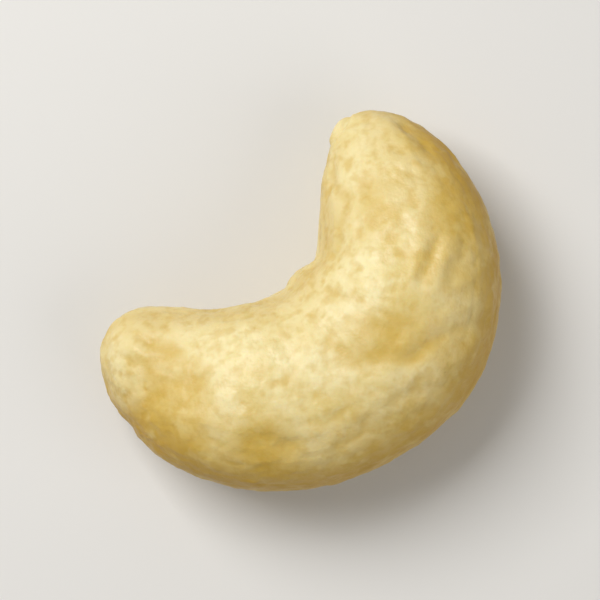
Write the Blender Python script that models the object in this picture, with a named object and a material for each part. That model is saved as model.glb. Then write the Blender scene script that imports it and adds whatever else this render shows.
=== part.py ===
"""A raw cashew kernel lying on its side, as one closed body in metres, +Z up.

The kernel is swept along a spine that bends like a C. Every ring of the sweep is a slightly
squared oval, and both ends close in a rounded cap. The seam between the two grown-together
halves, the germ's nub, the folds in the crook and the dents of drying are then raised or pressed
into that surface by formula, and the underside is levelled where the kernel rests.
"""

import math

import bmesh
import bpy
import numpy as np

MM = 0.001

# The spine's stations from the thin end to the thick end. Each gives the centre's x, y and height,
# then the half width across the bend and the half thickness, all in millimetres. The spine's
# direction at a ring is read between the points one direction step before and behind it.
SPINE = (
    (-12.5, -4.6, 4.0, 3.4, 3.2),
    (-9.7, -4.4, 3.9, 3.9, 3.9),
    (-5.8, -5.5, 5.1, 5.1, 4.9),
    (2.6, -4.5, 5.6, 6.3, 5.6),
    (5.1, -2.2, 5.7, 6.5, 5.7),
    (6.6, 1.7, 5.6, 5.85, 5.5),
    (5.45, 7.3, 4.75, 4.85, 4.8),
    (3.5, 11.5, 4.5, 4.7, 4.1),
)
THIN_CAP = 2.8
THICK_CAP = 7.4
CAP_POWER = 1.85
OVAL_POWER = 2.08
DIRECTION_STEP = 0.01

# The mesh: rings in each cap and between them, points round a ring, and how much closer the
# points stand at the seam than on the cheeks.
THIN_CAP_RINGS = 9
BODY_RINGS = 46
THICK_CAP_RINGS = 15
RING_POINTS = 60
SEAM_CROWDING = 0.62

# The seam runs round the outline. It is a fine line on the back and a cleft in the crook, and it
# fades towards both tips with this power of the ring's scale.
SEAM_HALF_WIDTH = 0.4
BACK_SEAM_DEPTH = 0.16
CROOK_SEAM_DEPTH = 0.45
LIP_OFFSET = 0.95
LIP_HALF_WIDTH = 0.55
BACK_LIP_HEIGHT = 0.04
CROOK_LIP_HEIGHT = 0.14
SEAM_SWAY = 0.35
SEAM_SWAY_LENGTH = 23.0
SEAM_FADE = 3

# Folds that fan out of the crook, where the inner side was squeezed as the kernel dried. Each
# gives its place along the spine, its half width there and its height, in millimetres.
FOLDS = (
    (12.4, 0.8, -0.07),
    (14.6, 0.6, 0.05),
    (16.1, 0.5, -0.06),
    (17.6, 0.7, 0.07),
    (19.3, 0.6, -0.08),
    (21.2, 0.9, 0.06),
    (23.4, 0.8, -0.05),
)
# Where on a ring the folds stand highest and how far they spread, as a share of the way from
# the crook, at 0, to the back, at 1.
FOLD_MIDDLE = 0.32
FOLD_SPREAD = 0.17

# Strokes raise or press the surface along a line from one point to another. Each gives both
# points, the half width and the height, in millimetres. A negative height is a dent.
STROKES = {
    "germ nub": ((2.2, 10.2, 4.7), (2.6, 10.8, 4.6), 0.8, 0.32),
    "hollow behind the nub": ((1.4, 8.0, 4.8), (1.6, 8.7, 4.8), 0.8, -0.22),
    "crease over the elbow": ((1.9, -3.7, 11.1), (6.5, -3.5, 11.1), 0.6, -0.15),
    "rise of the crease": ((7.3, -3.1, 11.0), (8.6, -2.1, 10.7), 0.6, -0.17),
    "end of the crease": ((9.4, -1.7, 10.3), (11.4, -1.3, 8.6), 0.6, -0.13),
    "shoulder under the crease": ((5.6, -4.9, 10.9), (10.7, -2.7, 9.0), 0.9, 0.13),
    "hollow over the crease": ((3.5, -2.0, 11.2), (6.0, -2.0, 11.3), 1.5, -0.12),
    "furrow on the thick arm": ((7.4, 1.3, 11.1), (8.4, 3.5, 10.5), 0.42, -0.17),
    "ridge before that furrow": ((6.7, 1.5, 11.1), (7.4, 3.2, 10.8), 0.42, 0.10),
    "ridge behind that furrow": ((7.9, 0.7, 11.1), (9.0, 3.2, 10.4), 0.45, 0.13),
    "outer furrow on the thick arm": ((9.1, 1.4, 10.6), (10.0, 3.5, 9.8), 0.5, -0.14),
    "edge of the thick tip": ((5.0, 11.0, 6.3), (7.4, 8.3, 8.5), 0.6, 0.15),
    "hollow beyond that edge": ((6.6, 10.5, 6.6), (7.8, 8.7, 8.1), 0.7, -0.13),
    "dimple on the thick arm": ((4.3, 6.7, 9.1), (4.7, 5.5, 9.8), 1.4, -0.18),
    "upper furrow in the wall of the crook": ((1.9, 7.7, 6.8), (2.7, 6.2, 8.3), 0.55, -0.16),
    "lower furrow in the wall of the crook": ((2.7, 5.3, 8.7), (2.2, 3.2, 8.9), 0.55, -0.16),
    "furrow along the thin arm": ((-10.5, -1.8, 6.4), (-9.0, -2.6, 7.6), 0.5, -0.15),
    "end of the thin arm's furrow": ((-8.3, -2.8, 8.0), (-6.3, -3.4, 9.1), 0.6, -0.12),
    "ridge along the thin arm": ((-11.1, -2.3, 6.1), (-8.8, -3.7, 8.1), 0.5, 0.12),
    "flat on the thin arm": ((-8.9, -4.6, 8.0), (-6.3, -4.9, 9.4), 1.5, -0.2),
    "blunted face of the thin end": ((-12.4, -4.1, 2.8), (-12.2, -5.0, 4.9), 1.7, -0.3),
    "dent on the belly": ((-3.0, -8.5, 10.3), (-0.8, -8.7, 10.3), 0.9, -0.17),
    "dent on the back": ((6.4, -9.5, 6.0), (8.8, -7.8, 5.4), 1.3, -0.18),
    "flat on the back of the thick arm": ((10.2, 7.8, 3.8), (11.6, 4.3, 3.5), 1.6, -0.2),
    "dent under the belly": ((-3.3, -8.3, 0.8), (-0.6, -9.1, 1.1), 1.1, -0.18),
    "dent under the thick arm": ((9.2, 5.4, 1.2), (10.0, 2.8, 1.2), 1.2, -0.18),
    "ridge under the elbow": ((8.0, -6.2, 1.5), (10.5, -2.4, 1.8), 0.5, 0.12),
}

# How far the underside is levelled, so that the kernel rests on small flat spots.
REST_CUT = 0.12

CREAM = (0.78, 0.64, 0.37, 1.0)
ROUGHNESS = 0.45


def clear_scene():
    for old in list(bpy.data.objects):
        bpy.data.objects.remove(old, do_unlink=True)


def smooth_curve(knots, values, places):
    """The natural cubic spline through the values, read at each place along it."""
    spans = np.diff(knots)
    count = len(knots)
    system = np.eye(count)
    bends = np.zeros(values.shape)
    for i in range(1, count - 1):
        system[i, i - 1 : i + 2] = spans[i - 1], 2 * (spans[i - 1] + spans[i]), spans[i]
        rise_after = (values[i + 1] - values[i]) / spans[i]
        rise_before = (values[i] - values[i - 1]) / spans[i - 1]
        bends[i] = 6 * (rise_after - rise_before)
    bends = np.linalg.solve(system, bends)
    left = np.clip(np.searchsorted(knots, places) - 1, 0, count - 2)
    span = spans[left][:, None]
    near = (knots[left + 1] - places)[:, None] / span
    far = (places - knots[left])[:, None] / span
    straight = near * values[left] + far * values[left + 1]
    curve = (near**3 - near) * bends[left] + (far**3 - far) * bends[left + 1]
    return straight + curve * span**2 / 6


def ring_places(length):
    """How far along the spine each ring stands: crowded towards the tips, even between the caps."""
    thin = THIN_CAP * (1 - np.cos(np.linspace(0, math.pi / 2, THIN_CAP_RINGS + 1)[1:]))
    thick = THICK_CAP * (1 - np.cos(np.linspace(0, math.pi / 2, THICK_CAP_RINGS + 1)[1:]))
    body = np.linspace(THIN_CAP, length - THICK_CAP, BODY_RINGS + 2)[1:-1]
    return np.concatenate([thin, body, length - thick[::-1]])


def cap_scale(distance, cap):
    """The share of its full size that a ring has at this distance from the tip."""
    inward = np.clip(1 - distance / cap, 0, 1)
    return (1 - inward**CAP_POWER) ** (1 / CAP_POWER)


def ring_angles():
    """Angles round a ring: 0 on the back, a quarter turn on top, half a turn in the crook."""
    even = np.arange(RING_POINTS) * 2 * math.pi / RING_POINTS
    return even - SEAM_CROWDING * np.sin(2 * even) / 2


def squared(wave):
    """A sine or cosine bent so that the oval it draws is a little square."""
    return np.sign(wave) * np.abs(wave) ** (2 / OVAL_POWER)


def sweep():
    """The plain surface as rings of points, with each point's height over the seam and its side."""
    stations = np.array(SPINE)
    steps = np.linalg.norm(np.diff(stations[:, :2], axis=0), axis=1)
    knots = np.concatenate([[0], np.cumsum(steps)])
    length = knots[-1]
    places = ring_places(length)
    centre_x, centre_y, height, wide, thick = smooth_curve(knots, stations, places).T
    ahead = smooth_curve(knots, stations[:, :2], np.clip(places + DIRECTION_STEP, 0, length))
    behind = smooth_curve(knots, stations[:, :2], np.clip(places - DIRECTION_STEP, 0, length))
    along = (ahead - behind) / np.linalg.norm(ahead - behind, axis=1)[:, None]
    scale = cap_scale(places, THIN_CAP) * cap_scale(length - places, THICK_CAP)
    angles = ring_angles()
    out = (wide * scale)[:, None] * squared(np.cos(angles))
    up = (thick * scale)[:, None] * squared(np.sin(angles))
    sway = SEAM_SWAY * scale * np.sin(2 * math.pi * places / SEAM_SWAY_LENGTH)
    x = centre_x[:, None] + out * along[:, 1:2]
    y = centre_y[:, None] - out * along[:, 0:1]
    z = height[:, None] + up + sway[:, None] * np.cos(angles) ** 2
    rings = np.stack([x, y, z], axis=2)
    back = (1 + np.cos(angles)) / 2
    return rings, up, back, places, scale


def normals_of(rings):
    """The outward direction at each point, from its neighbours along and round the sweep."""
    along = np.gradient(rings, axis=0)
    around = np.roll(rings, -1, axis=1) - np.roll(rings, 1, axis=1)
    normals = np.cross(along, around)
    return normals / np.linalg.norm(normals, axis=2, keepdims=True)


def hump(distance, half_width):
    return np.exp(-((distance / half_width) ** 2))


def stroke(points, start, end, half_width, height):
    """A soft ridge or dent along the line from start to end."""
    start = np.array(start)
    line = np.array(end) - start
    share = np.clip((points - start) @ line / (line @ line), 0, 1)
    nearest = start + share[..., None] * line
    return height * hump(np.linalg.norm(points - nearest, axis=-1), half_width)


def seam_relief(up, back, scale):
    """The groove at the seam and the swollen lips beside it, faded out at the very tips."""
    depth = CROOK_SEAM_DEPTH + (BACK_SEAM_DEPTH - CROOK_SEAM_DEPTH) * back
    lip = CROOK_LIP_HEIGHT + (BACK_LIP_HEIGHT - CROOK_LIP_HEIGHT) * back
    groove = lip * hump(np.abs(up) - LIP_OFFSET, LIP_HALF_WIDTH) - depth * hump(up, SEAM_HALF_WIDTH)
    return groove * scale[:, None] ** SEAM_FADE


def fold_relief(places, back):
    """Shallow folds across the crook's flanks that die away over the cheeks."""
    along = sum(height * hump(places - at, half_width) for at, half_width, height in FOLDS)
    return along[:, None] * hump(back - FOLD_MIDDLE, FOLD_SPREAD)


def stroke_relief(points):
    return sum(stroke(points, *shape) for shape in STROKES.values())


def tips_of():
    """The two ends of the spine, each moved by the strokes along its own outward direction."""
    ends = np.array([SPINE[0][:3], SPINE[-1][:3]])
    outward = ends - np.array([SPINE[1][:3], SPINE[-2][:3]])
    outward[:, 2] = 0
    outward /= np.linalg.norm(outward, axis=1)[:, None]
    return ends + outward * stroke_relief(ends)[:, None]


def kernel_points():
    """Every ring's points with their relief, and the two tips, with the underside at height 0."""
    rings, up, back, places, scale = sweep()
    relief = seam_relief(up, back, scale) + fold_relief(places, back) + stroke_relief(rings)
    rings = rings + normals_of(rings) * relief[..., None]
    tips = tips_of()
    tips[:, 2] -= REST_CUT
    rings[..., 2] = np.maximum(rings[..., 2] - REST_CUT, 0)
    points = np.concatenate([rings.reshape(-1, 3), tips])
    middle = (points.min(axis=0) + points.max(axis=0)) / 2
    middle[2] = 0
    return (rings - middle) * MM, (tips - middle) * MM


def skin(mesh, rings, tips):
    """Joins the rings with quads and closes each end with a fan of triangles round its tip."""
    build = bmesh.new()
    loops = [[build.verts.new(point) for point in ring] for ring in rings]
    for first, second in zip(loops, loops[1:]):
        for i in range(RING_POINTS):
            j = (i + 1) % RING_POINTS
            build.faces.new((first[i], first[j], second[j], second[i]))
    for loop, tip in ((loops[0], tips[0]), (loops[-1], tips[1])):
        centre = build.verts.new(tip)
        for i in range(RING_POINTS):
            build.faces.new((centre, loop[i], loop[(i + 1) % RING_POINTS]))
    bmesh.ops.triangulate(build, faces=build.faces)
    bmesh.ops.recalc_face_normals(build, faces=build.faces)
    build.to_mesh(mesh)
    build.free()
    mesh.shade_smooth()


def cashew_flesh():
    """Cream flesh with the satin finish of a raw, oily nut."""
    material = bpy.data.materials.new("cashew_flesh")
    material.use_nodes = True
    shader = material.node_tree.nodes["Principled BSDF"]
    shader.inputs["Base Color"].default_value = CREAM
    shader.inputs["Roughness"].default_value = ROUGHNESS
    shader.inputs["Metallic"].default_value = 0.0
    return material


def build_kernel():
    mesh = bpy.data.meshes.new("kernel")
    rings, tips = kernel_points()
    skin(mesh, rings, tips)
    mesh.materials.append(cashew_flesh())
    kernel = bpy.data.objects.new("kernel", mesh)
    bpy.context.scene.collection.objects.link(kernel)
    return kernel


clear_scene()
build_kernel()
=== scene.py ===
# %% [markdown]
# # A raw cashew kernel
#
# A cashew is a seed that grew bent inside its shell. Its two halves are pressed together along a
# flat plane, so the nut has a seam all round its outline. In the crook of the bend the seam opens
# into a cleft, and at the thick end the germ's tip stands out as a small nub. The flesh is pale,
# dense and a little oily.
#
# This script finishes the look of one such nut lying on its side. The plain solid comes from the
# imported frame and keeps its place. A finer skin of the same form is grown over it here.

# %% Load the frame and note its size
import math

import bpy
import numpy as np
from mathutils import Matrix, Vector


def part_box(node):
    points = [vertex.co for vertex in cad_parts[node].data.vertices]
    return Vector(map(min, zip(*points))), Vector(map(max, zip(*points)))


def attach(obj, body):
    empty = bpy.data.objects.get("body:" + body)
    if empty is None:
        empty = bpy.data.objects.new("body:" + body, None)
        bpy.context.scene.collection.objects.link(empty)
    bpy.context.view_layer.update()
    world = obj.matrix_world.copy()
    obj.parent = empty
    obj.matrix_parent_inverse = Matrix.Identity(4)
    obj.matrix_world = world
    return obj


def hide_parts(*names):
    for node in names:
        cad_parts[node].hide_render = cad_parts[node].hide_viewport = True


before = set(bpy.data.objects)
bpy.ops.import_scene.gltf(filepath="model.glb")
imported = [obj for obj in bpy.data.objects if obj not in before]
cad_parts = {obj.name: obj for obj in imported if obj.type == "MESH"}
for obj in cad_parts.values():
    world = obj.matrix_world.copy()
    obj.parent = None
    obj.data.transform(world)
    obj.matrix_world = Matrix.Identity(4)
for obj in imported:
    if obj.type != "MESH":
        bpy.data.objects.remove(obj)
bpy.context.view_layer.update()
MM = 0.001

# %% [markdown]
# ## The spine
#
# The nut could be sculpted from a sphere, but its shape follows a rule that is easier to hold on
# to: an oval slides along a bent line and swells and shrinks on the way. That line is the spine.
# Eight stations along it give the centre, half the width across the bend and half the thickness.
# A natural cubic spline runs smoothly through all five numbers at once.

# %% Stations along the spine, in millimetres: centre, half width, half thickness
SPINE = (
    (-12.5, -4.6, 4.0, 3.4, 3.2),
    (-9.7, -4.4, 3.9, 3.9, 3.9),
    (-5.8, -5.5, 5.1, 5.1, 4.9),
    (2.6, -4.5, 5.6, 6.3, 5.6),
    (5.1, -2.2, 5.7, 6.5, 5.7),
    (6.6, 1.7, 5.6, 5.85, 5.5),
    (5.45, 7.3, 4.75, 4.85, 4.8),
    (3.5, 11.5, 4.5, 4.7, 4.1),
)


def smooth_curve(knots, values, places):
    """The natural cubic spline through the values, read at each place along it."""
    spans = np.diff(knots)
    count = len(knots)
    system = np.eye(count)
    bends = np.zeros(values.shape)
    for i in range(1, count - 1):
        system[i, i - 1 : i + 2] = spans[i - 1], 2 * (spans[i - 1] + spans[i]), spans[i]
        rise_after = (values[i + 1] - values[i]) / spans[i]
        rise_before = (values[i] - values[i - 1]) / spans[i - 1]
        bends[i] = 6 * (rise_after - rise_before)
    bends = np.linalg.solve(system, bends)
    left = np.clip(np.searchsorted(knots, places) - 1, 0, count - 2)
    span = spans[left][:, None]
    near = (knots[left + 1] - places)[:, None] / span
    far = (places - knots[left])[:, None] / span
    straight = near * values[left] + far * values[left + 1]
    curve = (near**3 - near) * bends[left] + (far**3 - far) * bends[left + 1]
    return straight + curve * span**2 / 6


stations = np.array(SPINE)
knots = np.append(0, np.cumsum(np.linalg.norm(np.diff(stations[:, :2], axis=0), axis=1)))
LENGTH = float(knots[-1])
print("The spine is", round(LENGTH, 1), "mm long")

# %% [markdown]
# ## From spine to rings
#
# Both ends close in a rounded cap. A cap is a scale that falls to nothing at the tip, along a
# curve a little sharper than a circle. Rings stand closer together near the tips, because the
# surface turns quickly there. The spine becomes a chain of edges whose points carry what the
# sweep needs to know, so that Geometry Nodes can read it as named attributes. Its direction at a
# ring is read between the points one small step ahead and behind.

# %% How the two ends close, and where the rings stand
THIN_CAP = 2.8
THICK_CAP = 7.4
CAP_POWER = 1.85
RINGS = 380
THIN_CAP_RINGS = 49
THICK_CAP_RINGS = 83


def cap_scale(distance, cap):
    """The share of its full size that a ring has at this distance from the tip."""
    inward = np.clip(1 - distance / cap, 0, 1)
    return (1 - inward**CAP_POWER) ** (1 / CAP_POWER)


def ring_places():
    """How far along the spine each ring stands, crowded towards both tips."""
    thin = THIN_CAP * (1 - np.cos(np.linspace(0, math.pi / 2, THIN_CAP_RINGS)))
    thick = THICK_CAP * (1 - np.cos(np.linspace(0, math.pi / 2, THICK_CAP_RINGS)))
    body = np.linspace(THIN_CAP, LENGTH - THICK_CAP, RINGS - len(thin) - len(thick) + 2)
    return np.concatenate([thin, body[1:-1], LENGTH - thick[::-1]])


places = ring_places()
gaps = np.diff(places)
print("The rings stand", round(gaps.min(), 4), "to", round(gaps.max(), 2), "mm apart")

# %% A chain of edges that carries the sweep's sizes
DIRECTION_STEP = 0.01


def spine_object():
    """The spine as a mesh of edges with the sweep's sizes on its points."""
    centre_x, centre_y, height, wide, thick = smooth_curve(knots, stations, places).T
    ahead = smooth_curve(knots, stations[:, :2], np.clip(places + DIRECTION_STEP, 0, LENGTH))
    behind = smooth_curve(knots, stations[:, :2], np.clip(places - DIRECTION_STEP, 0, LENGTH))
    along = (ahead - behind) / np.linalg.norm(ahead - behind, axis=1)[:, None]
    scale = cap_scale(places, THIN_CAP) * cap_scale(LENGTH - places, THICK_CAP)
    centres = np.stack([centre_x, centre_y, height], axis=1)
    sideways = np.stack([along[:, 1], -along[:, 0], np.zeros(len(places))], axis=1)
    mesh = bpy.data.meshes.new("spine")
    edges = [(i, i + 1) for i in range(len(places) - 1)]
    mesh.from_pydata(centres.tolist(), edges, [])
    for name, values in {"place": places, "cap": scale, "wide": wide, "thick": thick}.items():
        mesh.attributes.new(name, "FLOAT", "POINT").data.foreach_set("value", values)
    for name, values in {"centre": centres, "sideways": sideways}.items():
        mesh.attributes.new(name, "FLOAT_VECTOR", "POINT").data.foreach_set("vector", values.ravel())
    spine = bpy.data.objects.new("spine", mesh)
    bpy.context.scene.collection.objects.link(spine)
    return spine


spine = spine_object()
print("The spine carries", len(spine.data.vertices), "rings")

# %% [markdown]
# ## Wiring nodes from a script
#
# Every tree below is wired by one small function. It adds a node, sets its properties, and gives
# each input either a value or a link from another node.

# %% One function that adds a node, and one that starts a tree
MATH = "ShaderNodeMath"
VECTOR = "ShaderNodeVectorMath"
NOISE = "ShaderNodeTexNoise"
MIX = "ShaderNodeMix"
GROUP = "GeometryNodeGroup"
SOCKETS = {float: "NodeSocketFloat", int: "NodeSocketInt", tuple: "NodeSocketVector"}


def add(tree, kind, inputs=(), **settings):
    """Adds a node with its settings and inputs, and returns its first live output."""
    made = tree.nodes.new(kind)
    for name, value in settings.items():
        setattr(made, name, value)
    live = [socket for socket in made.inputs if socket.enabled]
    pairs = inputs.items() if isinstance(inputs, dict) else enumerate(inputs)
    for key, value in pairs:
        socket = live[key] if isinstance(key, int) else made.inputs[key]
        if isinstance(value, bpy.types.NodeSocket):
            tree.links.new(value, socket)
        else:
            socket.default_value = value
    return next((socket for socket in made.outputs if socket.enabled), made)


def start_tree(name, sizes, result, result_kind="NodeSocketFloat"):
    """A Geometry Nodes tree with named inputs for its sizes and one output."""
    tree = bpy.data.node_groups.new(name, "GeometryNodeTree")
    if result_kind == "NodeSocketGeometry":
        tree.interface.new_socket("Geometry", in_out="INPUT", socket_type=result_kind)
    for label, value in sizes.items():
        socket = tree.interface.new_socket(label, in_out="INPUT", socket_type=SOCKETS[type(value)])
        socket.default_value = value
    tree.interface.new_socket(result, in_out="OUTPUT", socket_type=result_kind)
    return tree, tree.nodes.new("NodeGroupInput").outputs


print("A tree's sizes can be of", len(SOCKETS), "kinds")

# %% [markdown]
# ## Two small groups that shape the relief
#
# Everything that stands out of the nut's surface or is pressed into it is a soft bell: highest in
# the middle, and gone a little way out. The first group draws that bell. The second measures how
# far a point is from a line between two ends and gives the bell along it, like one stroke of a
# thumb. A height below nothing presses the bell in.

# %% The bell group
BELL_INPUTS = {"Distance": 0.0, "Half Width": 1.0, "Height": 1.0}
bell_tree, given = start_tree("Soft bell", BELL_INPUTS, "Relief")
share = add(bell_tree, MATH, [given["Distance"], given["Half Width"]], operation="DIVIDE")
squared = add(bell_tree, MATH, [share, share], operation="MULTIPLY")
falling = add(bell_tree, MATH, [squared, -1.0], operation="MULTIPLY")
bell = add(bell_tree, MATH, [falling], operation="EXPONENT")
raised = add(bell_tree, MATH, [bell, given["Height"]], operation="MULTIPLY")
add(bell_tree, "NodeGroupOutput", [raised])
print("The bell falls to", round(math.exp(-1), 2), "of its height at its half width")

# %% The stroke group
STROKE_INPUTS = {
    "Here": (0.0, 0.0, 0.0),
    "Start": (0.0, 0.0, 0.0),
    "End": (1.0, 0.0, 0.0),
    "Half Width": 1.0,
    "Height": 0.1,
}
stroke_tree, given = start_tree("Thumb stroke", STROKE_INPUTS, "Relief")
line = add(stroke_tree, VECTOR, [given["End"], given["Start"]], operation="SUBTRACT")
reach = add(stroke_tree, VECTOR, [given["Here"], given["Start"]], operation="SUBTRACT")
reached = add(stroke_tree, VECTOR, [reach, line], operation="DOT_PRODUCT")
whole = add(stroke_tree, VECTOR, [line, line], operation="DOT_PRODUCT")
share = add(stroke_tree, MATH, [reached, whole], operation="DIVIDE", use_clamp=True)
step = add(stroke_tree, VECTOR, {0: line, "Scale": share}, operation="SCALE")
nearest = add(stroke_tree, VECTOR, [given["Start"], step], operation="ADD")
gap = add(stroke_tree, VECTOR, [given["Here"], nearest], operation="DISTANCE")
bell = add(stroke_tree, GROUP, [gap, given["Half Width"], given["Height"]], node_tree=bell_tree)
add(stroke_tree, "NodeGroupOutput", [bell])
print("Two helper groups hold", len(bell_tree.nodes) + len(stroke_tree.nodes), "nodes")

# %% [markdown]
# ## The sweep
#
# Curve to Mesh joins the spine and a ring into a skin. It copies the spine's attributes and the
# ring's turn onto every point, so one Set Position can put each point where the rule says. The
# ring is an oval with slightly square cheeks. Points crowd towards the seam, where the relief is
# finest. The ring's direction leaves the faces looking inwards, so they are flipped before any
# relief is measured along them. All sizes here are millimetres, and a Transform near the end of
# the tree turns them to metres.

# %% Start the kernel's tree
KERNEL_SIZES = {
    "Ring Points": 240,
    "Seam Crowding": 0.5,
    "Oval Power": 2.08,
    "Seam Sway": 0.35,
    "Seam Sway Length": 23.0,
    "Seam Half Width": 0.27,
    "Seam Wander": 0.7,
    "Seam Unevenness": 1.2,
    "Back Seam Depth": 0.16,
    "Crook Seam Depth": 0.5,
    "Lip Offset": 0.95,
    "Lip Half Width": 0.55,
    "Back Lip Height": 0.04,
    "Crook Lip Height": 0.14,
    "Seam Fade": 1.5,
    "Collar Offset": 1.0,
    "Collar Half Width": 0.2,
    "Collar Depth": 0.14,
    "Stroke Stray": 1.1,
    "Lump Height": 0.3,
    "Wrinkle Height": 0.17,
    "Mottle Height": 0.22,
    "Grain Height": 0.07,
    "Pit Depth": 0.06,
    "Dimple Half Width": 0.45,
    "Dimple Depth": 0.07,
    "Fine Fade": 0.5,
    "Rest Cut": 0.12,
}
kernel_tree, given = start_tree("Cashew kernel", KERNEL_SIZES, "Geometry", "NodeSocketGeometry")
print("The kernel's tree has", len(KERNEL_SIZES), "named sizes")

# %% What the tree reads from the spine, from the ring and from its own skin
STORE = "GeometryNodeStoreNamedAttribute"
NUMBERS = ("turn", "place", "cap", "wide", "thick", "over_seam", "outward", "back")
read = {}
for name in NUMBERS + ("centre", "sideways"):
    kind = "FLOAT" if name in NUMBERS else "FLOAT_VECTOR"
    wires = {"Name": name}
    read[name] = add(kernel_tree, "GeometryNodeInputNamedAttribute", wires, data_type=kind)
here = add(kernel_tree, "GeometryNodeInputPosition")
print("The tree can read", len(read), "attributes")

# %% The ring and its turn
factor = add(kernel_tree, "GeometryNodeSplineParameter")
even = add(kernel_tree, MATH, [factor, math.tau], operation="MULTIPLY")
double = add(kernel_tree, MATH, [even, 2.0], operation="MULTIPLY")
wave = add(kernel_tree, MATH, [double], operation="SINE")
half_crowding = add(kernel_tree, MATH, [given["Seam Crowding"], -0.5], operation="MULTIPLY")
turn = add(kernel_tree, MATH, [wave, half_crowding, even], operation="MULTIPLY_ADD")
ring = add(kernel_tree, "GeometryNodeCurvePrimitiveCircle", {"Resolution": given["Ring Points"]})
wires = {"Geometry": ring, "Name": "turn", "Value": turn}
ring = add(kernel_tree, STORE, wires, domain="POINT")
spine_curve = add(kernel_tree, "GeometryNodeMeshToCurve", [given["Geometry"]])
skin = add(kernel_tree, "GeometryNodeCurveToMesh", {"Curve": spine_curve, "Profile Curve": ring})
print("The sweep makes", RINGS * KERNEL_SIZES["Ring Points"], "points")

# %% The oval: a cosine and a sine bent to be a little square
oval_power = add(kernel_tree, MATH, [2.0, given["Oval Power"]], operation="DIVIDE")
plain = {}
bent = {}
for name in ("COSINE", "SINE"):
    plain[name] = add(kernel_tree, MATH, [read["turn"]], operation=name)
    size = add(kernel_tree, MATH, [plain[name]], operation="ABSOLUTE")
    size = add(kernel_tree, MATH, [size, oval_power], operation="POWER")
    sign = add(kernel_tree, MATH, [plain[name]], operation="SIGN")
    bent[name] = add(kernel_tree, MATH, [size, sign], operation="MULTIPLY")
half_wide = add(kernel_tree, MATH, [read["wide"], read["cap"]], operation="MULTIPLY")
half_thick = add(kernel_tree, MATH, [read["thick"], read["cap"]], operation="MULTIPLY")
out = add(kernel_tree, MATH, [half_wide, bent["COSINE"]], operation="MULTIPLY")
up = add(kernel_tree, MATH, [half_thick, bent["SINE"]], operation="MULTIPLY")
back = add(kernel_tree, MATH, [plain["COSINE"], 0.5, 0.5], operation="MULTIPLY_ADD")
print("The oval's power is", KERNEL_SIZES["Oval Power"], "where an ellipse has 2")

# %% Sway the seam up and down, and put every point in its place
CLOSING_GAP = 0.0001
lap = add(kernel_tree, MATH, [read["place"], given["Seam Sway Length"]], operation="DIVIDE")
lap = add(kernel_tree, MATH, [lap, math.tau], operation="MULTIPLY")
sway = add(kernel_tree, MATH, [lap], operation="SINE")
sway = add(kernel_tree, MATH, [sway, given["Seam Sway"]], operation="MULTIPLY")
sway = add(kernel_tree, MATH, [sway, read["cap"]], operation="MULTIPLY")
at_seam = add(kernel_tree, MATH, [plain["COSINE"], plain["COSINE"]], operation="MULTIPLY")
lifted = add(kernel_tree, MATH, [sway, at_seam, up], operation="MULTIPLY_ADD")
lift = add(kernel_tree, "ShaderNodeCombineXYZ", {"Z": lifted})
sideways = add(kernel_tree, VECTOR, {0: read["sideways"], "Scale": out}, operation="SCALE")
spot = add(kernel_tree, VECTOR, [read["centre"], sideways], operation="ADD")
spot = add(kernel_tree, VECTOR, [spot, lift], operation="ADD")
for name, value in {"over_seam": up, "outward": out, "back": back}.items():
    wires = {"Geometry": skin, "Name": name, "Value": value}
    skin = add(kernel_tree, STORE, wires, domain="POINT")
skin = add(kernel_tree, "GeometryNodeSetPosition", {"Geometry": skin, "Position": spot})
wires = {"Geometry": skin, "Distance": CLOSING_GAP}
skin = add(kernel_tree, "GeometryNodeMergeByDistance", wires)
skin = add(kernel_tree, "GeometryNodeFlipFaces", [skin])
print("The seam sways", KERNEL_SIZES["Seam Sway"], "mm up and down")

# %% [markdown]
# ## The seam
#
# The groove is a narrow bell pressed in where the height over the seam is nothing. A wider bell on
# each side raises the lips. Both are deeper in the crook than on the back, and both fade out at
# the very tips, where the halves close. Two halves that grew never meet along a ruled line, so
# noise moves the groove a little up and down, and lets it run shallow in some places.

# %% Where the groove runs, and how deep it is
WANDER_LENGTH = 2.4
DEPTH_LENGTH = 3.5


def wobble(width):
    """Plain noise around nothing, with swells of about this width."""
    noise = add(kernel_tree, NOISE, {"Vector": here, "Scale": 1 / width, "Detail": 1.0})
    return add(kernel_tree, MATH, [noise, 0.5], operation="SUBTRACT")


wires = [wobble(WANDER_LENGTH), given["Seam Wander"], read["over_seam"]]
meeting = add(kernel_tree, MATH, wires, operation="MULTIPLY_ADD")
wires = {"Factor": read["back"], "A": given["Crook Seam Depth"], "B": given["Back Seam Depth"]}
depth = add(kernel_tree, MIX, wires)
wires = [wobble(DEPTH_LENGTH), given["Seam Unevenness"], 1.0]
unevenness = add(kernel_tree, MATH, wires, operation="MULTIPLY_ADD")
depth = add(kernel_tree, MATH, [depth, unevenness], operation="MULTIPLY")
print("In the crook the groove is about", KERNEL_SIZES["Crook Seam Depth"], "mm deep")

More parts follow.
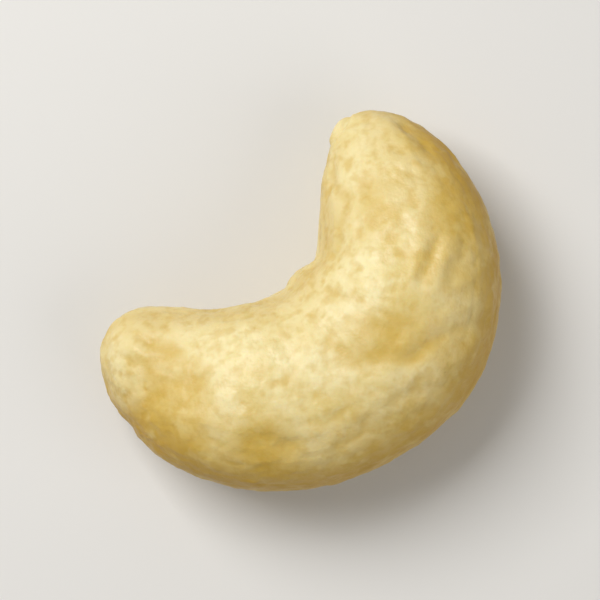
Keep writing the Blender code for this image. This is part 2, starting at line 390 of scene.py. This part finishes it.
# %% Groove and lips
wires = {"Factor": read["back"], "A": given["Crook Lip Height"], "B": given["Back Lip Height"]}
lip_height = add(kernel_tree, MIX, wires)
from_seam = add(kernel_tree, MATH, [meeting], operation="ABSOLUTE")
from_lip = add(kernel_tree, MATH, [from_seam, given["Lip Offset"]], operation="SUBTRACT")
wires = [from_lip, given["Lip Half Width"], lip_height]
lips = add(kernel_tree, GROUP, wires, node_tree=bell_tree)
groove = add(kernel_tree, GROUP, [meeting, given["Seam Half Width"], depth], node_tree=bell_tree)
seam_relief = add(kernel_tree, MATH, [lips, groove], operation="SUBTRACT")
fade = add(kernel_tree, MATH, [read["cap"], given["Seam Fade"]], operation="POWER")
relief = add(kernel_tree, MATH, [seam_relief, fade], operation="MULTIPLY")
print("There the lips stand", KERNEL_SIZES["Crook Lip Height"], "mm proud")

# %% [markdown]
# ## Folds and strokes
#
# As the kernel dried, the inner side of the bend was squeezed into shallow folds, and the cheeks
# took dents, ridges and a soft crease. Each is one line of the lists below, and a loop adds a
# bell for each. The strokes would look drawn with a ruler, so the place where they are measured
# strays a little with noise.

# %% Folds that fan out of the crook: place along the spine, half width, height
FOLDS = (
    (12.4, 0.8, -0.07),
    (14.6, 0.6, 0.05),
    (16.1, 0.5, -0.06),
    (17.6, 0.7, 0.07),
    (19.3, 0.6, -0.08),
    (21.2, 0.9, 0.06),
    (23.4, 0.8, -0.05),
)
FOLD_MIDDLE = 0.32
FOLD_SPREAD = 0.17
from_middle = add(kernel_tree, MATH, [read["back"], FOLD_MIDDLE], operation="SUBTRACT")
flank = add(kernel_tree, GROUP, [from_middle, FOLD_SPREAD, 1.0], node_tree=bell_tree)
for at, half_width, fold_height in FOLDS:
    from_fold = add(kernel_tree, MATH, [read["place"], at], operation="SUBTRACT")
    fold = add(kernel_tree, GROUP, [from_fold, half_width, fold_height], node_tree=bell_tree)
    relief = add(kernel_tree, MATH, [fold, flank, relief], operation="MULTIPLY_ADD")
print(len(FOLDS), "folds fan out of the crook")

# %% Strokes: both ends, half width, height
STROKES = {
    "germ nub": ((2.2, 10.2, 4.7), (2.6, 10.8, 4.6), 0.8, 0.32),
    "hollow behind the nub": ((1.4, 8.0, 4.8), (1.6, 8.7, 4.8), 0.8, -0.22),
    "crease over the elbow": ((1.9, -3.7, 11.1), (6.5, -3.5, 11.1), 0.6, -0.15),
    "rise of the crease": ((7.3, -3.1, 11.0), (8.6, -2.1, 10.7), 0.6, -0.17),
    "end of the crease": ((9.4, -1.7, 10.3), (11.4, -1.3, 8.6), 0.6, -0.13),
    "shoulder under the crease": ((5.6, -4.9, 10.9), (10.7, -2.7, 9.0), 0.9, 0.13),
    "hollow over the crease": ((3.5, -2.0, 11.2), (6.0, -2.0, 11.3), 1.5, -0.12),
    "furrow on the thick arm": ((7.4, 1.3, 11.1), (8.4, 3.5, 10.5), 0.42, -0.17),
    "ridge before that furrow": ((6.7, 1.5, 11.1), (7.4, 3.2, 10.8), 0.42, 0.10),
    "ridge behind that furrow": ((7.9, 0.7, 11.1), (9.0, 3.2, 10.4), 0.45, 0.13),
    "outer furrow on the thick arm": ((9.1, 1.4, 10.6), (10.0, 3.5, 9.8), 0.5, -0.14),
    "edge of the thick tip": ((5.0, 11.0, 6.3), (7.4, 8.3, 8.5), 0.6, 0.15),
    "hollow beyond that edge": ((6.6, 10.5, 6.6), (7.8, 8.7, 8.1), 0.7, -0.13),
    "dimple on the thick arm": ((4.3, 6.7, 9.1), (4.7, 5.5, 9.8), 1.4, -0.18),
    "upper furrow in the wall of the crook": ((1.9, 7.7, 6.8), (2.7, 6.2, 8.3), 0.55, -0.16),
    "lower furrow in the wall of the crook": ((2.7, 5.3, 8.7), (2.2, 3.2, 8.9), 0.55, -0.16),
    "furrow along the thin arm": ((-10.5, -1.8, 6.4), (-9.0, -2.6, 7.6), 0.5, -0.15),
    "end of the thin arm's furrow": ((-8.3, -2.8, 8.0), (-6.3, -3.4, 9.1), 0.6, -0.12),
    "ridge along the thin arm": ((-11.1, -2.3, 6.1), (-8.8, -3.7, 8.1), 0.5, 0.12),
    "flat on the thin arm": ((-8.9, -4.6, 8.0), (-6.3, -4.9, 9.4), 1.5, -0.2),
    "blunted face of the thin end": ((-12.4, -4.1, 2.8), (-12.2, -5.0, 4.9), 1.7, -0.3),
    "dent on the belly": ((-3.0, -8.5, 10.3), (-0.8, -8.7, 10.3), 0.9, -0.17),
    "dent on the back": ((6.4, -9.5, 6.0), (8.8, -7.8, 5.4), 1.3, -0.18),
    "flat on the back of the thick arm": ((10.2, 7.8, 3.8), (11.6, 4.3, 3.5), 1.6, -0.2),
    "dent under the belly": ((-3.3, -8.3, 0.8), (-0.6, -9.1, 1.1), 1.1, -0.18),
    "dent under the thick arm": ((9.2, 5.4, 1.2), (10.0, 2.8, 1.2), 1.2, -0.18),
    "ridge under the elbow": ((8.0, -6.2, 1.5), (10.5, -2.4, 1.8), 0.5, 0.12),
}
print(len(STROKES), "strokes shape the surface")

# %% Let the place stray, and add a bell along each stroke
STRAY_LENGTH = 1.8
MIDDLE_GREY = (0.5, 0.5, 0.5)
wires = {"Vector": here, "Scale": 1 / STRAY_LENGTH, "Detail": 1.0}
stray = add(kernel_tree, NOISE, wires).node.outputs["Color"]
stray = add(kernel_tree, VECTOR, [stray, MIDDLE_GREY], operation="SUBTRACT")
stray = add(kernel_tree, VECTOR, {0: stray, "Scale": given["Stroke Stray"]}, operation="SCALE")
strayed = add(kernel_tree, VECTOR, [here, stray], operation="ADD")
for name, sizes in STROKES.items():
    stroke = add(kernel_tree, GROUP, [strayed, *sizes], node_tree=stroke_tree, label=name)
    relief = add(kernel_tree, MATH, [relief, stroke], operation="ADD")
print("The strokes stray with swells of", STRAY_LENGTH, "mm")

# %% A fine collar where the germ's nub stands between the halves
nub_start, nub_end = STROKES["germ nub"][:2]
nub_middle = tuple((a + b) / 2 for a, b in zip(nub_start, nub_end))
from_nub = add(kernel_tree, VECTOR, [strayed, nub_middle], operation="DISTANCE")
from_collar = add(kernel_tree, MATH, [from_nub, given["Collar Offset"]], operation="SUBTRACT")
wires = [from_collar, given["Collar Half Width"], given["Collar Depth"]]
collar = add(kernel_tree, GROUP, wires, node_tree=bell_tree)
relief = add(kernel_tree, MATH, [relief, collar], operation="SUBTRACT")
print("The nub stands at", [round(side, 1) for side in nub_middle], "mm")

# %% [markdown]
# ## Skin that dried
#
# Up close the surface is never smooth. Broad lumps a few millimetres wide come first. Fine
# wrinkles run lengthwise, as the veins under the seed's lost skin did, so their noise is stretched
# along the spine. Its coordinates are those of the nut bent straight: how far a point is out from
# the spine, how far over the seam and how far along. Then come a mottle of dents a millimetre
# wide and a finer grain. The noise has no moving seed, so it is the same on each run.

# %% The nut bent straight, for the wrinkles
WRINKLE_WIDTH = 0.8
WRINKLE_LENGTH = 5.0
wires = [read["outward"], read["over_seam"], read["place"]]
straight = add(kernel_tree, "ShaderNodeCombineXYZ", wires)
stretch = (WRINKLE_WIDTH, WRINKLE_WIDTH, WRINKLE_LENGTH)
laid = add(kernel_tree, VECTOR, [straight, stretch], operation="DIVIDE")
print("Wrinkles are", WRINKLE_LENGTH / WRINKLE_WIDTH, "times as long as wide")

# %% Lumps, wrinkles, mottle and grain: where, width in mm, detail, roughness, warp
NOISES = {
    "Lump Height": (here, 4.5, 1.5, 0.45, 0.0),
    "Wrinkle Height": (laid, 1.0, 2.0, 0.5, 0.8),
    "Mottle Height": (here, 1.1, 1.5, 0.5, 0.4),
    "Grain Height": (here, 0.5, 2.0, 0.55, 0.0),
}
form = relief
fine = 0.0
for label, (where, width, detail, roughness, warp) in NOISES.items():
    wires = {"Vector": where, "Scale": 1 / width, "Detail": detail}
    wires.update({"Roughness": roughness, "Distortion": warp})
    noise = add(kernel_tree, NOISE, wires)
    centred = add(kernel_tree, MATH, [noise, 0.5], operation="SUBTRACT")
    if label == "Lump Height":
        form = add(kernel_tree, MATH, [centred, given[label], form], operation="MULTIPLY_ADD")
    else:
        fine = add(kernel_tree, MATH, [centred, given[label], fine], operation="MULTIPLY_ADD")
print(len(NOISES), "noises roughen the skin")

# %% [markdown]
# ## Pits, dimples and painted light
#
# Drying also left a few small pits, which a pattern of cells scatters, and some dimples at places
# of their own. Last come golden patches of painted shade and a pale patch of painted highlight.
# They move nothing, and are marked here because the colour is to follow them.

# %% Pits, and everything fine fades towards the tips
PIT_SPACING = 2.6
PIT_HALF_WIDTH = 0.22
wires = {"Vector": here, "Scale": 1 / PIT_SPACING}
from_pit = add(kernel_tree, "ShaderNodeTexVoronoi", wires)
wires = [from_pit, PIT_HALF_WIDTH / PIT_SPACING, given["Pit Depth"]]
pit = add(kernel_tree, GROUP, wires, node_tree=bell_tree)
fine = add(kernel_tree, MATH, [fine, pit], operation="SUBTRACT")
fine_fade = add(kernel_tree, MATH, [read["cap"], given["Fine Fade"]], operation="POWER")
fine = add(kernel_tree, MATH, [fine, fine_fade], operation="MULTIPLY")
relief = add(kernel_tree, MATH, [form, fine], operation="ADD")
print("Pits stand about", PIT_SPACING, "mm apart")

# %% Dimples on the cheek, in millimetres
DIMPLES = (
    (4.6, 9.2, 7.8),
    (6.3, 2.2, 11.0),
    (6.3, 4.4, 10.4),
    (3.8, 4.4, 9.7),
    (7.1, 7.7, 9.0),
    (-5.8, -6.2, 10.0),
    (-1.8, -8.4, 10.5),
    (0.6, -5.6, 11.1),
    (2.0, -0.7, 10.5),
    (8.9, 5.6, 9.6),
)
for centre in DIMPLES:
    gap = add(kernel_tree, VECTOR, [strayed, centre], operation="DISTANCE")
    wires = [gap, given["Dimple Half Width"], given["Dimple Depth"]]
    dimple = add(kernel_tree, GROUP, wires, node_tree=bell_tree)
    relief = add(kernel_tree, MATH, [relief, dimple], operation="SUBTRACT")
print(len(DIMPLES), "dimples are pressed in")

# %% Golden patches of painted shade and a pale patch of painted highlight: middle and half width in millimetres, strength
PAINTED_LIGHT_PATCHES = (
    ((3.9, -2.3, 11.2), 1.9, 1.0),
    ((6.9, -2.1, 10.9), 1.9, 1.0),
    ((-2.2, -8.6, 10.3), 1.9, 1.0),
    ((8.0, 1.9, 10.7), 1.6, 1.0),
    ((8.9, 4.6, 10.0), 2.0, 1.0),
    ((-8.0, -3.2, 8.3), 1.2, 1.0),
    ((-5.7, -7.0, 9.6), 1.6, 0.8),
    ((-10.8, -4.9, 6.8), 2.1, -1.0),
)
# The patches add up to one mark: painted shade where it is positive, painted highlight where
# negative.
painted_light_patch = 0.0
for centre, half_width, strength in PAINTED_LIGHT_PATCHES:
    gap = add(kernel_tree, VECTOR, [here, centre], operation="DISTANCE")
    patch = add(kernel_tree, GROUP, [gap, half_width, strength], node_tree=bell_tree)
    painted_light_patch = add(kernel_tree, MATH, [patch, painted_light_patch], operation="ADD")
print(len(PAINTED_LIGHT_PATCHES), "places are marked for the colour")

# %% [markdown]
# ## Relief, resting spots and metres
#
# The relief moves each point along its normal. The underside is then levelled at the height where
# the nut rests, and the whole is scaled from millimetres to metres. What the colour will read
# stays on the points as attributes.

# %% Move the points, and keep what the colour reads
# The mark of the painted shade and highlight patches is kept for the colour as well.
kept = {"from_seam": from_seam, "form": form, "painted_light_patch": painted_light_patch, "fine": fine}
for name, value in kept.items():
    wires = {"Geometry": skin, "Name": name, "Value": value}
    skin = add(kernel_tree, STORE, wires, domain="POINT")
normal = add(kernel_tree, "GeometryNodeInputNormal")
offset = add(kernel_tree, VECTOR, {0: normal, "Scale": relief}, operation="SCALE")
skin = add(kernel_tree, "GeometryNodeSetPosition", {"Geometry": skin, "Offset": offset})
print(len(kept), "more attributes are kept on the points")

# %% Level the resting spots and finish the tree
apart = add(kernel_tree, "ShaderNodeSeparateXYZ", [here]).node.outputs
lowered = add(kernel_tree, MATH, [apart["Z"], given["Rest Cut"]], operation="SUBTRACT")
level = add(kernel_tree, MATH, [lowered, 0.0], operation="MAXIMUM")
rested = add(kernel_tree, "ShaderNodeCombineXYZ", [apart["X"], apart["Y"], level])
skin = add(kernel_tree, "GeometryNodeSetPosition", {"Geometry": skin, "Position": rested})
skin = add(kernel_tree, "GeometryNodeTransform", {"Geometry": skin, "Scale": (MM, MM, MM)})
skin = add(kernel_tree, "GeometryNodeSetShadeSmooth", [skin])
skin = add(kernel_tree, "GeometryNodeRealizeInstances", [skin])
flesh = bpy.data.materials.new("raw_cashew_flesh")
skin = add(kernel_tree, "GeometryNodeSetMaterial", {"Geometry": skin, "Material": flesh})
add(kernel_tree, "NodeGroupOutput", [skin])
print("The kernel's tree holds", len(kernel_tree.nodes), "nodes")

# %% [markdown]
# ## From nodes to a plain mesh
#
# The modifier gets its sizes by each socket's identifier. Its result is copied into a plain mesh,
# so that the piece stands on its own, and the spine with its modifier is removed.

# %% Grow the kernel


def grow(spine, tree, sizes, name):
    """The modifier's result as a plain object, with the spine removed."""
    modifier = spine.modifiers.new("grow", "NODES")
    modifier.node_group = tree
    for item in tree.interface.items_tree:
        if item.name in sizes:
            modifier[item.identifier] = sizes[item.name]
    graph = bpy.context.evaluated_depsgraph_get()
    mesh = bpy.data.meshes.new_from_object(
        spine.evaluated_get(graph), preserve_all_data_layers=True, depsgraph=graph
    )
    bpy.data.objects.remove(spine, do_unlink=True)
    mesh.name = name
    grown = bpy.data.objects.new(name, mesh)
    bpy.context.scene.collection.objects.link(grown)
    return grown


kernel = grow(spine, kernel_tree, KERNEL_SIZES, "cashew_kernel")
print("The skin has", len(kernel.data.polygons), "faces")

# %% Set it over its solid


def set_over(piece, node):
    """Shifts the mesh so that its box stands where the node's box stands."""
    low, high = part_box(node)
    points = np.empty(len(piece.data.vertices) * 3, np.float32)
    piece.data.vertices.foreach_get("co", points)
    points = points.reshape(-1, 3)
    middle = (points.min(axis=0) + points.max(axis=0)) / 2
    shift = (Vector(low) + Vector(high)) / 2 - Vector(middle.tolist())
    shift.z = low[2] - float(points[:, 2].min())
    piece.data.transform(Matrix.Translation(shift))
    return shift


shift = set_over(kernel, "kernel")
print("The skin was shifted by", [round(side / MM, 3) for side in shift], "mm")

# %% [markdown]
# ## The flesh
#
# Raw cashew flesh is starch and oil under no skin: pale cream, a little see-through, and satin
# rather than glossy. Light goes half a millimetre or so into it and comes out warmer, which
# softens every shadow. A picture could be wrapped round the nut, but its colours follow its form.
# So they are mixed from what the sweep left on the skin's points, and from noise.

# %% Colours of the flesh


def linear(hex_colour):
    """An sRGB hex colour as the linear numbers that Blender works in."""
    parts = [int(hex_colour[i : i + 2], 16) / 255 for i in (1, 3, 5)]
    return tuple(c / 12.92 if c <= 0.04045 else ((c + 0.055) / 1.055) ** 2.4 for c in parts) + (1.0,)


IVORY = linear("#EFE3B1")
CREAM = linear("#DEC983")
GOLDEN = linear("#CCA949")
AMBER = linear("#B58B1F")
TAN = linear("#9A6C2C")
BROWN = linear("#6E4A28")
print("Cream is", [round(part, 2) for part in CREAM[:3]], "in linear numbers")

# %% The shader's own values, and what it reads from the skin
# The oil in the flesh has an index of 1.46, and light goes about half a millimetre in.
FLESH = {
    "IOR": 1.46,
    "Specular IOR Level": 0.4,
    "Subsurface Weight": 0.2,
    "Subsurface Radius": (1.0, 0.6, 0.3),
    "Subsurface Scale": 0.5 * MM,
}
flesh.use_nodes = True
flesh_tree = flesh.node_tree
shader = flesh_tree.nodes["Principled BSDF"]
for name, value in FLESH.items():
    shader.inputs[name].default_value = value
marks = {}
for name in ("from_seam", "back", "cap", "form", "fine", "painted_light_patch"):
    mark = add(flesh_tree, "ShaderNodeAttribute", attribute_name=name).node
    marks[name] = mark.outputs["Fac"]
in_place = add(flesh_tree, "ShaderNodeTexCoord").node.outputs["Object"]
print("The shader reads", len(marks), "attributes of the skin")

# %% Noises on the nut's own coordinates: width in mm, detail, roughness, warp
# The flesh's own grain is its cells, a few hundredths of a millimetre wide. It is drawn about ten
# times as coarse here, or it wouldn't show.
PATCHES = {
    "clouds": (3.5, 2.0, 0.5, 0.2),
    "flecks": (0.7, 1.5, 0.5, 0.0),
    "wander": (3.5, 2.0, 0.55, 0.0),
    "bloom": (1.3, 2.0, 0.55, 0.3),
    "mottle": (0.85, 2.0, 0.55, 0.0),
    "gloss": (1.6, 2.0, 0.6, 0.0),
    "grain": (0.3, 3.0, 0.6, 0.0),
}
patches = {}
for name, (width, detail, roughness, warp) in PATCHES.items():
    wires = {"Vector": in_place, "Scale": 1 / (width * MM), "Detail": detail}
    wires.update({"Roughness": roughness, "Distortion": warp})
    patches[name] = add(flesh_tree, NOISE, wires, label=name)
print("The narrowest noise is", min(sizes[0] for sizes in PATCHES.values()), "mm wide")

# %% [markdown]
# ## Tints on cream
#
# The colour isn't even. Clouds of ivory lie over golden cream. Painted light makes the cheek beside
# the crook the palest, painted shade makes hollows more golden, and painted highlight makes crests
# paler. Each of these is a tint laid over the colour so far. Its share grows from nothing to its
# strength as an attribute or a noise runs from one level to another.

# %% One function that lays a tint
RAMP = "ShaderNodeMapRange"
SMOOTH = {"interpolation_type": "SMOOTHSTEP"}
shares = {}


def lay(name, colour, tint, value, low, high, strength, within=1.0):
    """Lays a tint over a colour, more of it as a value runs from low to high, within a share."""
    share = add(flesh_tree, RAMP, [value, low, high, 0.0, strength], **SMOOTH)
    shares[name] = add(flesh_tree, MATH, [share, within], operation="MULTIPLY")
    wires = {"Factor": shares[name], "A": colour, "B": tint}
    return add(flesh_tree, MIX, wires, data_type="RGBA", label=name)


# The clouds fray the edges of the painted shade and highlight patches.
FRAYING = -0.5
wires = [patches["clouds"], FRAYING, marks["painted_light_patch"]]
frayed_painted_light = add(flesh_tree, MATH, wires, operation="MULTIPLY_ADD")
print("The clouds take up to", -FRAYING, "off a stain")

# %% Ivory and golden patches, some painted light and shade: tint, what it follows, from, to, strength
PATCH_TINTS = {
    "ivory clouds": (IVORY, patches["clouds"], 0.3, 0.62, 1.0),
    # Painted light: the cheek beside the crook, which faces the light, is made paler.
    "painted light on the cheek beside the crook": (IVORY, marks["back"], 0.5, 0.2, 0.45),
    "ivory flecks": (IVORY, patches["flecks"], 0.42, 0.74, 0.48),
    # Golden patches of painted shade.
    "golden patches of painted shade": (GOLDEN, frayed_painted_light, -0.1, 0.75, 0.5),
    # Painted shade in the hollows and painted highlight on the crests.
    "painted shade in hollows": (GOLDEN, marks["form"], -0.04, -0.2, 0.5),
    "painted highlight on crests": (IVORY, marks["form"], 0.03, 0.2, 0.5),
}
colour = CREAM
for name, layer in PATCH_TINTS.items():
    colour = lay(name, colour, *layer)
print(len(shares), "tints lie on the cream so far")

# %% [markdown]
# ## Golden flanks and painted shade
#
# The flanks are the most golden of all, a few millimetres off the seam and mostly on the back. That
# gold is partly the flesh's own deeper colour and partly painted shade, where the sides turn away
# from the light. The seam's lips are a little paler again, and so are the tips. Noise lets the
# edges wander, or the flanks would look like painted bands.

# %% Where the flanks lie
WANDER = 3.0
BACK_WANDER = 0.6
TIP_LIFT = 5.0
centred = add(flesh_tree, MATH, [patches["wander"], 0.5], operation="SUBTRACT")
off_seam = add(flesh_tree, MATH, [centred, WANDER, marks["from_seam"]], operation="MULTIPLY_ADD")
closing = add(flesh_tree, MATH, [1.0, marks["cap"]], operation="SUBTRACT")
off_seam = add(flesh_tree, MATH, [closing, TIP_LIFT, off_seam], operation="MULTIPLY_ADD")
outer = add(flesh_tree, MATH, [centred, BACK_WANDER, marks["back"]], operation="MULTIPLY_ADD")
wires = {"Value": marks["back"], "From Min": 0.2, "From Max": 0.75, "To Min": 0.35, "To Max": 1.0}
behind = add(flesh_tree, RAMP, wires, **SMOOTH)
wires = {"Value": off_seam, "From Min": 0.4, "From Max": 2.0, "To Min": 0.45, "To Max": 1.0}
off_lips = add(flesh_tree, RAMP, wires, **SMOOTH)
on_flank = add(flesh_tree, MATH, [behind, off_lips], operation="MULTIPLY")
print("The flanks' edges wander by", WANDER / 2, "mm either way")

# %% Golden and amber flanks, partly painted shade: tint, what it follows, from, to, strength, within what share
FLANK_TINTS = {
    # The golden back and flanks are partly the flesh's own deeper colour and partly painted shade.
    "golden back and painted shade": (GOLDEN, outer, 0.35, 0.85, 0.4),
    "golden flank and painted shade": (GOLDEN, off_seam, 5.8, 2.2, 0.9, on_flank),
    "amber flank and painted shade": (AMBER, off_seam, 4.6, 1.4, 0.85, on_flank),
    "cream bloom": (CREAM, patches["bloom"], 0.48, 0.76, 0.45),
    # A pale patch of painted highlight on the thin end.
    "pale patch of painted highlight": (IVORY, marks["painted_light_patch"], -0.1, -0.8, 0.45),
    # Painted shade in the fine hollows.
    "painted shade in fine hollows": (GOLDEN, marks["fine"], 0.0, -0.07, 0.5),
    "golden mottle": (GOLDEN, patches["mottle"], 0.4, 0.74, 0.38),
}
for name, layer in FLANK_TINTS.items():
    colour = lay(name, colour, *layer)
spots = (AMBER, patches["mottle"], 0.45, 0.68, 0.45, shares["golden flank and painted shade"])
colour = lay("amber spots on the flanks", colour, *spots)
print(len(shares), "tints lie on the cream so far")

# %% [markdown]
# ## The cleft, the specks and the gloss
#
# The seed's brown skin was peeled off. A little of its colour stays in the seam, most of all where
# that opens into the cleft, and in a few specks. The bare flesh is satin with a fine grain, which
# only has to bend the light, so a bump draws it and no point is moved.

# %% The seam is darker, most of all in the crook, and fades at the tips
wires = {"Value": marks["back"], "From Min": 0.8, "From Max": 0.15, "To Min": 0.3, "To Max": 0.85}
in_crook = add(flesh_tree, RAMP, wires, **SMOOTH)
wires = {"Value": marks["cap"], "From Min": 0.2, "From Max": 0.85}
open_seam = add(flesh_tree, RAMP, wires, **SMOOTH)
in_cleft = add(flesh_tree, MATH, [in_crook, open_seam], operation="MULTIPLY")
colour = lay("tan cleft", colour, TAN, marks["from_seam"], 0.5, 0.05, 1.0, in_cleft)
print("The cleft is tint number", len(shares))

# %% A few brown specks, at one in ten of a pattern's cells
SPECK_SPACING = 2.2
SPECK_RADIUS = 0.15
SPECK_CORE = 0.4
SPECK_LOT = 0.9
SPECK_STRENGTH = 0.55
wires = {"Vector": in_place, "Scale": 1 / (SPECK_SPACING * MM)}
cells = add(flesh_tree, "ShaderNodeTexVoronoi", wires)
lot = add(flesh_tree, "ShaderNodeSeparateColor", [cells.node.outputs["Color"]])
chosen = add(flesh_tree, MATH, [lot, SPECK_LOT], operation="GREATER_THAN")
edge = SPECK_RADIUS / SPECK_SPACING
speck = (BROWN, cells, edge, edge * SPECK_CORE, SPECK_STRENGTH, chosen)
colour = lay("brown specks", colour, *speck)
flesh_tree.links.new(colour, shader.inputs["Base Color"])
print("The colour is", len(shares), "tints on cream")

# %% Satin: the roughness wanders, and a fine bump breaks up the light
SMOOTHEST = 0.36
ROUGHEST = 0.5
BUMP_STRENGTH = 0.8
BUMP_DEPTH = 0.05
wires = {"Value": patches["gloss"], "From Min": 0.35, "From Max": 0.65}
wires.update({"To Min": SMOOTHEST, "To Max": ROUGHEST})
gloss = add(flesh_tree, RAMP, wires, **SMOOTH)
flesh_tree.links.new(gloss, shader.inputs["Roughness"])
wires = {"Strength": BUMP_STRENGTH, "Distance": BUMP_DEPTH * MM, "Height": patches["grain"]}
bump = add(flesh_tree, "ShaderNodeBump", wires)
flesh_tree.links.new(bump, shader.inputs["Normal"])
print("The flesh has a shader of", len(flesh_tree.nodes), "nodes")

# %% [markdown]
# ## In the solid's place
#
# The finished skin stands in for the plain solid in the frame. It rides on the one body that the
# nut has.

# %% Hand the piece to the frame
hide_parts("kernel")
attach(kernel, "root")
print("The skin stands for the solid kernel")

# %% [markdown]
# ## Studio
#
# The photograph looks square on to the nut's side. Here the nut lies on that side, so the camera
# looks straight down. A long lens from some way off keeps the outline true. A wide soft light at
# the upper left and a weaker one at the lower right shade the nut as in the photograph.

# %% A pale floor
FLOOR_HALF = 0.4
FLOOR_ROUGHNESS = 0.8
floor_mesh = bpy.data.meshes.new("floor")
corners = [(x * FLOOR_HALF, y * FLOOR_HALF, 0) for x, y in ((-1, -1), (1, -1), (1, 1), (-1, 1))]
floor_mesh.from_pydata(corners, [], [(0, 1, 2, 3)])
floor = bpy.data.objects.new("floor", floor_mesh)
bpy.context.scene.collection.objects.link(floor)
# Uncoated paper is matt, so it gives an even pale ground without a highlight.
paper = bpy.data.materials.new("uncoated_paper")
paper.use_nodes = True
paper_shader = paper.node_tree.nodes["Principled BSDF"]
paper_shader.inputs["Base Color"].default_value = linear("#DEDCD8")
paper_shader.inputs["Roughness"].default_value = FLOOR_ROUGHNESS
floor_mesh.materials.append(paper)
print("The floor is", 2 * FLOOR_HALF, "m wide")

# %% Soft light: place in metres, width, watts
LIGHTS = {
    "key": ((-0.11, 0.10, 0.20), 0.14, 0.56),
    "fill": ((0.18, -0.10, 0.14), 0.20, 0.16),
}
LIT_POINT = Vector((0, 0, 0.005))
for name, (place, width, watts) in LIGHTS.items():
    light = bpy.data.lights.new(name, "AREA")
    light.size = width
    light.energy = watts
    lamp = bpy.data.objects.new(name, light)
    lamp.location = place
    lamp.rotation_euler = (Vector(place) - LIT_POINT).to_track_quat("Z", "Y").to_euler()
    bpy.context.scene.collection.objects.link(lamp)
print(len(LIGHTS), "soft lights stand round the nut")

# %% Light from all round
AMBIENT = 0.28
world = bpy.data.worlds.new("studio")
bpy.context.scene.world = world
world.use_nodes = True
background = world.node_tree.nodes["Background"]
background.inputs["Color"].default_value = linear("#F6F4F0")
background.inputs["Strength"].default_value = AMBIENT
bpy.context.scene.view_settings.view_transform = "Standard"
print("The light from all round has strength", AMBIENT)

# %% The camera, straight above
LENS = 180
CAMERA_HEIGHT = 0.19
CLIP_START = 0.001
camera_data = bpy.data.cameras.new("camera")
camera_data.lens = LENS
camera_data.clip_start = CLIP_START
camera = bpy.data.objects.new("camera", camera_data)
bpy.context.scene.collection.objects.link(camera)
camera.location = (0, 0, CAMERA_HEIGHT)
bpy.context.scene.camera = camera
print("The camera looks down from", round(CAMERA_HEIGHT / MM), "mm")
